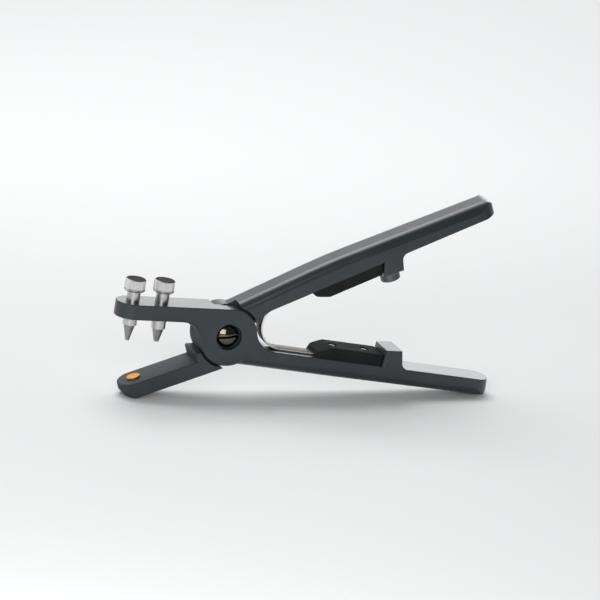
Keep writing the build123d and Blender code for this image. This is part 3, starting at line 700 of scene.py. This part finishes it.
def middle(node: str) -> Vector:
    """The middle of a CAD node's box."""
    low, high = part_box(node)
    return (low + high) / 2


@dataclass
class Levers:
    """The two coated levers with their black inserts.

    Attributes:
        coat: The levers' finish.
        plastic: The inserts' finish.
        upper_milled: Height over the pivot, in mm, below which the upper jaw's lever is milled.
        lower_milled: The same of the lower jaw's lever, which is milled to its top.
    """

    coat: SatinCoat = SatinCoat()
    plastic: MouldedPlastic = MouldedPlastic()
    upper_milled: float = 5.0
    lower_milled: float = 30.0

    def build(self) -> None:
        """Dresses the levers, the inserts and their screws."""
        upper = self.coat.make("upper_jaw_satin", UPPER_TURN, self.upper_milled)
        lower = self.coat.make("lower_jaw_satin", LOWER_TURN, self.lower_milled)
        dress("upper_jaw_lever", upper)
        dress("lower_jaw_lever", lower)
        plastic = self.plastic.make("moulded_plastic")
        for end in ("lower", "upper"):
            dress(f"{end}_grip_insert", plastic)
            screws = f"{end}_insert_screws"
            dress(screws, Turned.ZINC.make(f"{end}_screw_zinc", middle(screws), UPPER_TURN))


@dataclass
class Punches:
    """The punches with their sleeves, thumb heads and pins.

    Attributes:
        knurled: The thumb heads' finish.
    """

    knurled: KnurledSteel = KnurledSteel()

    def build(self) -> None:
        """Dresses the pieces about their own axes."""
        for end in ("front", "rear"):
            head, sleeve, punch = f"{end}_thumb_head", f"{end}_punch_sleeve", f"{end}_punch"
            dress(head, self.knurled.make(f"{end}_knurled_steel", middle(head), UPPER_TURN))
            dress(sleeve, Turned.BRIGHT.make(f"{end}_bright_steel", middle(sleeve), UPPER_TURN))
            dress(punch, Turned.TOOL.make(f"{end}_tool_steel", middle(punch), UPPER_TURN))
        dress("head_pins", Turned.ZINC.make("pin_steel", middle("head_pins"), UPPER_TURN))


@dataclass
class Pivot:
    """The pivot screw with its bush, washer and nut.

    Attributes:
        turn: The turns that bring Z to the screw's head.
    """

    turn: Triple = PIVOT_TURN

    def build(self) -> None:
        """Dresses the pieces about the pivot's axis."""
        dress("pivot_screw", Turned.PIVOT.make("pivot_steel", PIVOT, self.turn))
        dress("pivot_bush", Turned.BRONZE.make("bush_bronze", PIVOT, self.turn))
        dress("pivot_washer", Turned.BRIGHT.make("washer_steel", PIVOT, self.turn))
        dress("pivot_nut", Turned.ZINC.make("nut_zinc", PIVOT, self.turn))


@dataclass
class AnvilAndStop:
    """The brass anvil with its screw, and the stop peg.

    Attributes:
        turn: The turns that bring Z to the lower jaw's upright.
    """

    turn: Triple = LOWER_TURN

    def build(self) -> None:
        """Dresses the pieces about their own axes."""
        dress("anvil", Turned.BRASS.make("anvil_brass", middle("anvil"), self.turn))
        screw = Turned.ZINC.make("anvil_screw_zinc", middle("anvil_screw"), self.turn)
        dress("anvil_screw", screw)
        dress("stop_peg", Turned.PEG.make("peg_steel", middle("stop_peg"), self.turn))


@dataclass
class LeafSpring:
    """The hairpin leaf between the handles, bent from one strip.

    Attributes:
        width: Width of the strip.
        thickness: Its thickness.
        bend_radius: Radius of its middle line round the bend.
        arm_end: Distance along a handle from the pivot to the arm's end.
        seat: Gap between an arm and its handle.
        lower_inner: The lower handle's inner face: its distance from the pivot's axis, and slope.
        upper_inner: The same of the upper handle.
        bend_steps: Steps round the bend.
        arm_steps: Steps along each arm.
        edge_rounding: Rounding of the strip's edges.
        edge_segments: Faces across the rounding.
        sharp_angle: Angle between faces, in degrees, above which an edge is rounded.
        smooth_angle: Angle between faces, in degrees, below which they shade as one.
        merge_distance: Points that lie nearer than this become one.
        steel: The strip's finish.
    """

    width: float = 9.0 * MM
    thickness: float = 1.0 * MM
    bend_radius: float = 14.2 * MM
    arm_end: float = 96.0 * MM
    seat: float = 0.02 * MM
    lower_inner: Pair = (5.3 * MM, 0.0835)
    upper_inner: Pair = (4.9 * MM, 0.0718)
    bend_steps: int = 56
    arm_steps: int = 24
    edge_rounding: float = 0.18 * MM
    edge_segments: int = 2
    sharp_angle: float = 50.0
    smooth_angle: float = 40.0
    merge_distance: float = 0.001 * MM
    steel: SpringSteel = SpringSteel()

    def arm(self, inner: Pair, turn: float, side: int) -> tuple[Vector, Vector]:
        """The middle line of an arm along a handle's inner face.

        Args:
            inner: The face's distance from the pivot's axis at the pivot, and its slope.
            turn: The lever's turn from level, in radians.
            side: 1 for the lower handle and -1 for the upper one.

        Returns:
            The arm's end and its direction towards the end.
        """
        distance, slope = inner
        direction = Vector((1.0, 0.0, -side * slope)).normalized()
        normal = Vector((-direction.z, 0.0, direction.x)) * side
        end = Vector((self.arm_end, 0.0, -side * (distance + slope * self.arm_end)))
        end += normal * (self.seat + self.thickness / 2)
        rotation = Matrix.Rotation(-turn, 3, "Y")
        return PIVOT + rotation @ end, rotation @ direction

    @staticmethod
    def crossing(first: Vector, first_way: Vector, second: Vector, second_way: Vector) -> Vector:
        """Where two lines of the side view meet.

        Args:
            first: A point on the first line.
            first_way: The first line's direction.
            second: A point on the second line.
            second_way: The second line's direction.

        Returns:
            The point that both lines pass through.
        """
        gap = second - first
        across = first_way.x * second_way.z - first_way.z * second_way.x
        share = (gap.x * second_way.z - gap.z * second_way.x) / across
        return first + first_way * share

    def build(self) -> None:
        """Sweeps the strip's section along an arm, round the bend and along the other arm."""
        lower_end, lower_way = self.arm(self.lower_inner, -TILT, 1)
        upper_end, upper_way = self.arm(self.upper_inner, OPENING - TILT, -1)
        apex = self.crossing(lower_end, lower_way, upper_end, upper_way)
        half_angle = lower_way.angle(upper_way) / 2
        reach = self.bend_radius / math.tan(half_angle)
        lower_start = apex + lower_way * reach
        upper_start = apex + upper_way * reach
        bisector = (lower_way + upper_way).normalized()
        centre = apex + bisector * (self.bend_radius / math.sin(half_angle))

        strip = self.section(lower_end, lower_way)
        bpy.ops.object.mode_set(mode="EDIT")
        bpy.ops.mesh.select_all(action="SELECT")
        self.extend(lower_start - lower_end)
        bend = math.pi - 2 * half_angle
        bpy.ops.mesh.spin(steps=self.bend_steps, angle=-bend, center=centre, axis=(0.0, 1.0, 0.0))
        self.extend(upper_end - upper_start)
        bpy.ops.mesh.select_all(action="SELECT")
        bpy.ops.mesh.remove_doubles(threshold=self.merge_distance)
        bpy.ops.mesh.normals_make_consistent(inside=False)
        bpy.ops.object.mode_set(mode="OBJECT")
        self.finish(strip)
        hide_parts("leaf_spring")
        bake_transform(strip)
        log.info("built %s", strip.name)

    def section(self, end: Vector, way: Vector) -> bpy.types.Object:
        """Makes the strip's section at an arm's end.

        Args:
            end: The middle of the arm's end.
            way: The arm's direction, which the section faces.

        Returns:
            The section, one face.
        """
        bpy.ops.mesh.primitive_plane_add(size=1.0, location=end)
        strip = bpy.context.object
        strip.name = "leaf_blade"
        across = Vector((0.0, 1.0, 0.0))
        turned = Matrix((way.cross(across), across, way)).transposed().to_4x4()
        strip.data.transform(Matrix.Diagonal((self.thickness, self.width, 1.0, 1.0)))
        strip.data.transform(Matrix.Translation(end) @ turned)
        strip.matrix_world = Matrix.Identity(4)
        return strip

    def extend(self, way: Vector) -> None:
        """Extrudes the selected section along a straight arm, in equal steps.

        Args:
            way: The whole arm, as a vector.
        """
        step = {"value": way / self.arm_steps}
        for _ in range(self.arm_steps):
            bpy.ops.mesh.extrude_region_move(TRANSFORM_OT_translate=step)

    def finish(self, strip: bpy.types.Object) -> None:
        """Rounds the strip's edges and gives it its finish.

        Args:
            strip: The swept strip.
        """
        rounding = strip.modifiers.new("rounding", "BEVEL")
        rounding.width = self.edge_rounding
        rounding.segments = self.edge_segments
        rounding.limit_method = "ANGLE"
        rounding.angle_limit = math.radians(self.sharp_angle)
        bpy.context.view_layer.objects.active = strip
        bpy.ops.object.modifier_apply(modifier=rounding.name)
        bpy.ops.object.shade_smooth_by_angle(angle=math.radians(self.smooth_angle))
        strip.data.materials.append(self.steel.make("spring_steel"))


# ---- studio --------------------------------------------------------------------------------------
@dataclass(frozen=True)
class SoftBox:
    """A soft lamp that faces the tool.

    Attributes:
        name: The lamp's name.
        place: Its middle.
        size: Its width and height.
        power: Its power, in watts.
    """

    name: str
    place: Triple
    size: Pair
    power: float

    def build(self) -> None:
        """Adds the lamp."""
        data = bpy.data.lights.new(self.name, "AREA")
        data.shape = "RECTANGLE"
        data.size, data.size_y = self.size
        data.energy = self.power
        lamp = bpy.data.objects.new(self.name, data)
        bpy.context.scene.collection.objects.link(lamp)
        facing = (-Vector(self.place)).to_track_quat("-Z", "Y").to_matrix().to_4x4()
        lamp.matrix_world = Matrix.Translation(self.place) @ facing


@dataclass(frozen=True)
class Studio:
    """Floor, soft light, pale world and the camera.

    Attributes:
        azimuth: The camera's turn about the upper lever's upright, in degrees.
        elevation: Its angle over that lever's level, in degrees.
        roll: Its roll, in degrees.
        pixels_per_mm: Picture pixels that a millimetre at the aim point covers.
        lens: Focal length, in millimetres.
        sensor: Width of the sensor, in millimetres.
        clip: Nearest and furthest distance that the camera sees.
        image_width: Width of the picture, in pixels.
        pivot_place: The pivot's place right of and above the middle of the picture, in mm.
        floor_size: Length of the floor's sides.
        floor_level: Height of the floor, just under the tool.
        near_floor: Floor colour at the bottom of the picture, the dim end of the painted light.
        far_floor: Floor colour at the top of the picture, the bright end of the painted light.
        floor_fade: Picture heights, from the aim point, between which the painted light fades.
        floor_roughness: Roughness of the floor.
        floor_specular: Specular level of the floor.
        front_wall: Colour of the world on the camera's side.
        rear_wall: Colour of the world beyond the tool.
        wall_fade: Part of a direction along Y at which the rear colour starts, and is full.
        wall_rise: How much of its part along Z is added to that.
        boxes: The soft lamps.
    """

    azimuth: float = -21.836
    elevation: float = 15.111
    roll: float = 8.621
    pixels_per_mm: float = 1.734
    lens: float = 1200.0
    sensor: float = 36.0
    clip: Pair = (0.1, 200.0)
    image_width: float = 600.0
    pivot_place: Pair = (-44.12, -18.68)
    floor_size: float = 4.0
    floor_level: float = -0.2 * MM
    near_floor: Triple = (0.755, 0.755, 0.755)
    far_floor: Triple = (0.835, 0.835, 0.835)
    floor_fade: Pair = (-0.010, 0.095)
    floor_roughness: float = 0.8
    floor_specular: float = 0.2
    front_wall: Triple = (0.075, 0.08, 0.085)
    rear_wall: Triple = (0.95, 0.96, 0.97)
    wall_fade: Pair = (-0.25, 0.75)
    wall_rise: float = 0.2
    boxes: tuple[SoftBox, ...] = (
        SoftBox("overhead", (0.0, 0.50, 0.88), (0.62, 0.74), 5.8),
        SoftBox("rear", (0.72, 1.32, 0.32), (0.8, 0.38), 2.2),
        SoftBox("front_fill", (-0.44, -0.83, 0.38), (0.62, 0.52), 5.2),
    )

    def axes(self) -> tuple[Vector, Vector, Vector]:
        """Turns the camera's angles from the upper lever's frame to the row frame.

        Returns:
            The camera's right, up and back.
        """
        a, e, r = (math.radians(angle) for angle in (self.azimuth, self.elevation, self.roll))
        back = Vector((math.sin(a) * math.cos(e), -math.cos(a) * math.cos(e), math.sin(e)))
        level = Vector((math.cos(a), math.sin(a), 0.0))
        upright = level.cross(-back)
        right = level * math.cos(r) + upright * math.sin(r)
        up = upright * math.cos(r) - level * math.sin(r)
        turn = Matrix.Rotation(TILT, 3, "Y")
        return turn @ right, turn @ up, turn @ back

    def aim(self) -> Vector:
        """The point in the middle of the picture."""
        right, up, _ = self.axes()
        return PIVOT - right * self.pivot_place[0] * MM - up * self.pivot_place[1] * MM

    def camera(self) -> None:
        """Places the camera."""
        right, up, back = self.axes()
        distance = self.lens / self.sensor * self.image_width / self.pixels_per_mm * MM
        data = bpy.data.cameras.new("camera")
        data.lens = self.lens
        data.sensor_width = self.sensor
        data.clip_start, data.clip_end = self.clip
        camera = bpy.data.objects.new("camera", data)
        bpy.context.scene.collection.objects.link(camera)
        axes = Matrix((right, up, back)).transposed().to_4x4()
        camera.matrix_world = Matrix.Translation(self.aim() + back * distance) @ axes
        bpy.context.scene.camera = camera

    def floor(self) -> None:
        """Adds the pale floor with painted light, paler towards the back."""
        location = (0.0, 0.0, self.floor_level)
        bpy.ops.mesh.primitive_plane_add(size=self.floor_size, location=location)
        floor = bpy.context.object
        floor.name = "floor"
        _, up, _ = self.axes()
        tree = ShaderTree("floor_white")
        x, y, _ = tree.parts(tree.coordinates("Object"))
        # Painted light: the floor's colour grows paler up the picture.
        height = x * up.x + y * up.y - self.aim().dot(up)
        tree.shade(
            Base_Color=tree.mix(height.between(*self.floor_fade), self.near_floor, self.far_floor),
            Roughness=self.floor_roughness,
            Specular_IOR_Level=self.floor_specular,
        )
        floor.data.materials.append(tree.material)

    def world(self) -> None:
        """Lights the scene from plain walls, dimmer behind the camera than beyond the tool."""
        world = bpy.data.worlds.new("studio")
        tree = NodeTree(world)
        _, y, z = tree.parts(tree.coordinates("Generated"))
        share = (y + z * self.wall_rise).between(*self.wall_fade)
        colour = tree.first("BACKGROUND").inputs["Color"]
        tree.feed(colour, tree.mix(share, self.front_wall, self.rear_wall))
        bpy.context.scene.world = world

    def build(self) -> None:
        """Sets up the studio."""
        bpy.context.scene.view_settings.view_transform = "Standard"
        self.world()
        self.floor()
        for box in self.boxes:
            box.build()
        self.camera()


def main() -> None:
    """Builds the sub-assemblies and the studio in order."""
    bpy.ops.object.select_all(action="DESELECT")
    for assembly in (Levers(), Punches(), Pivot(), AnvilAndStop(), LeafSpring(), Studio()):
        assembly.build()
        log.info("done: %s", type(assembly).__name__)


if __name__ == "__main__":
    main()
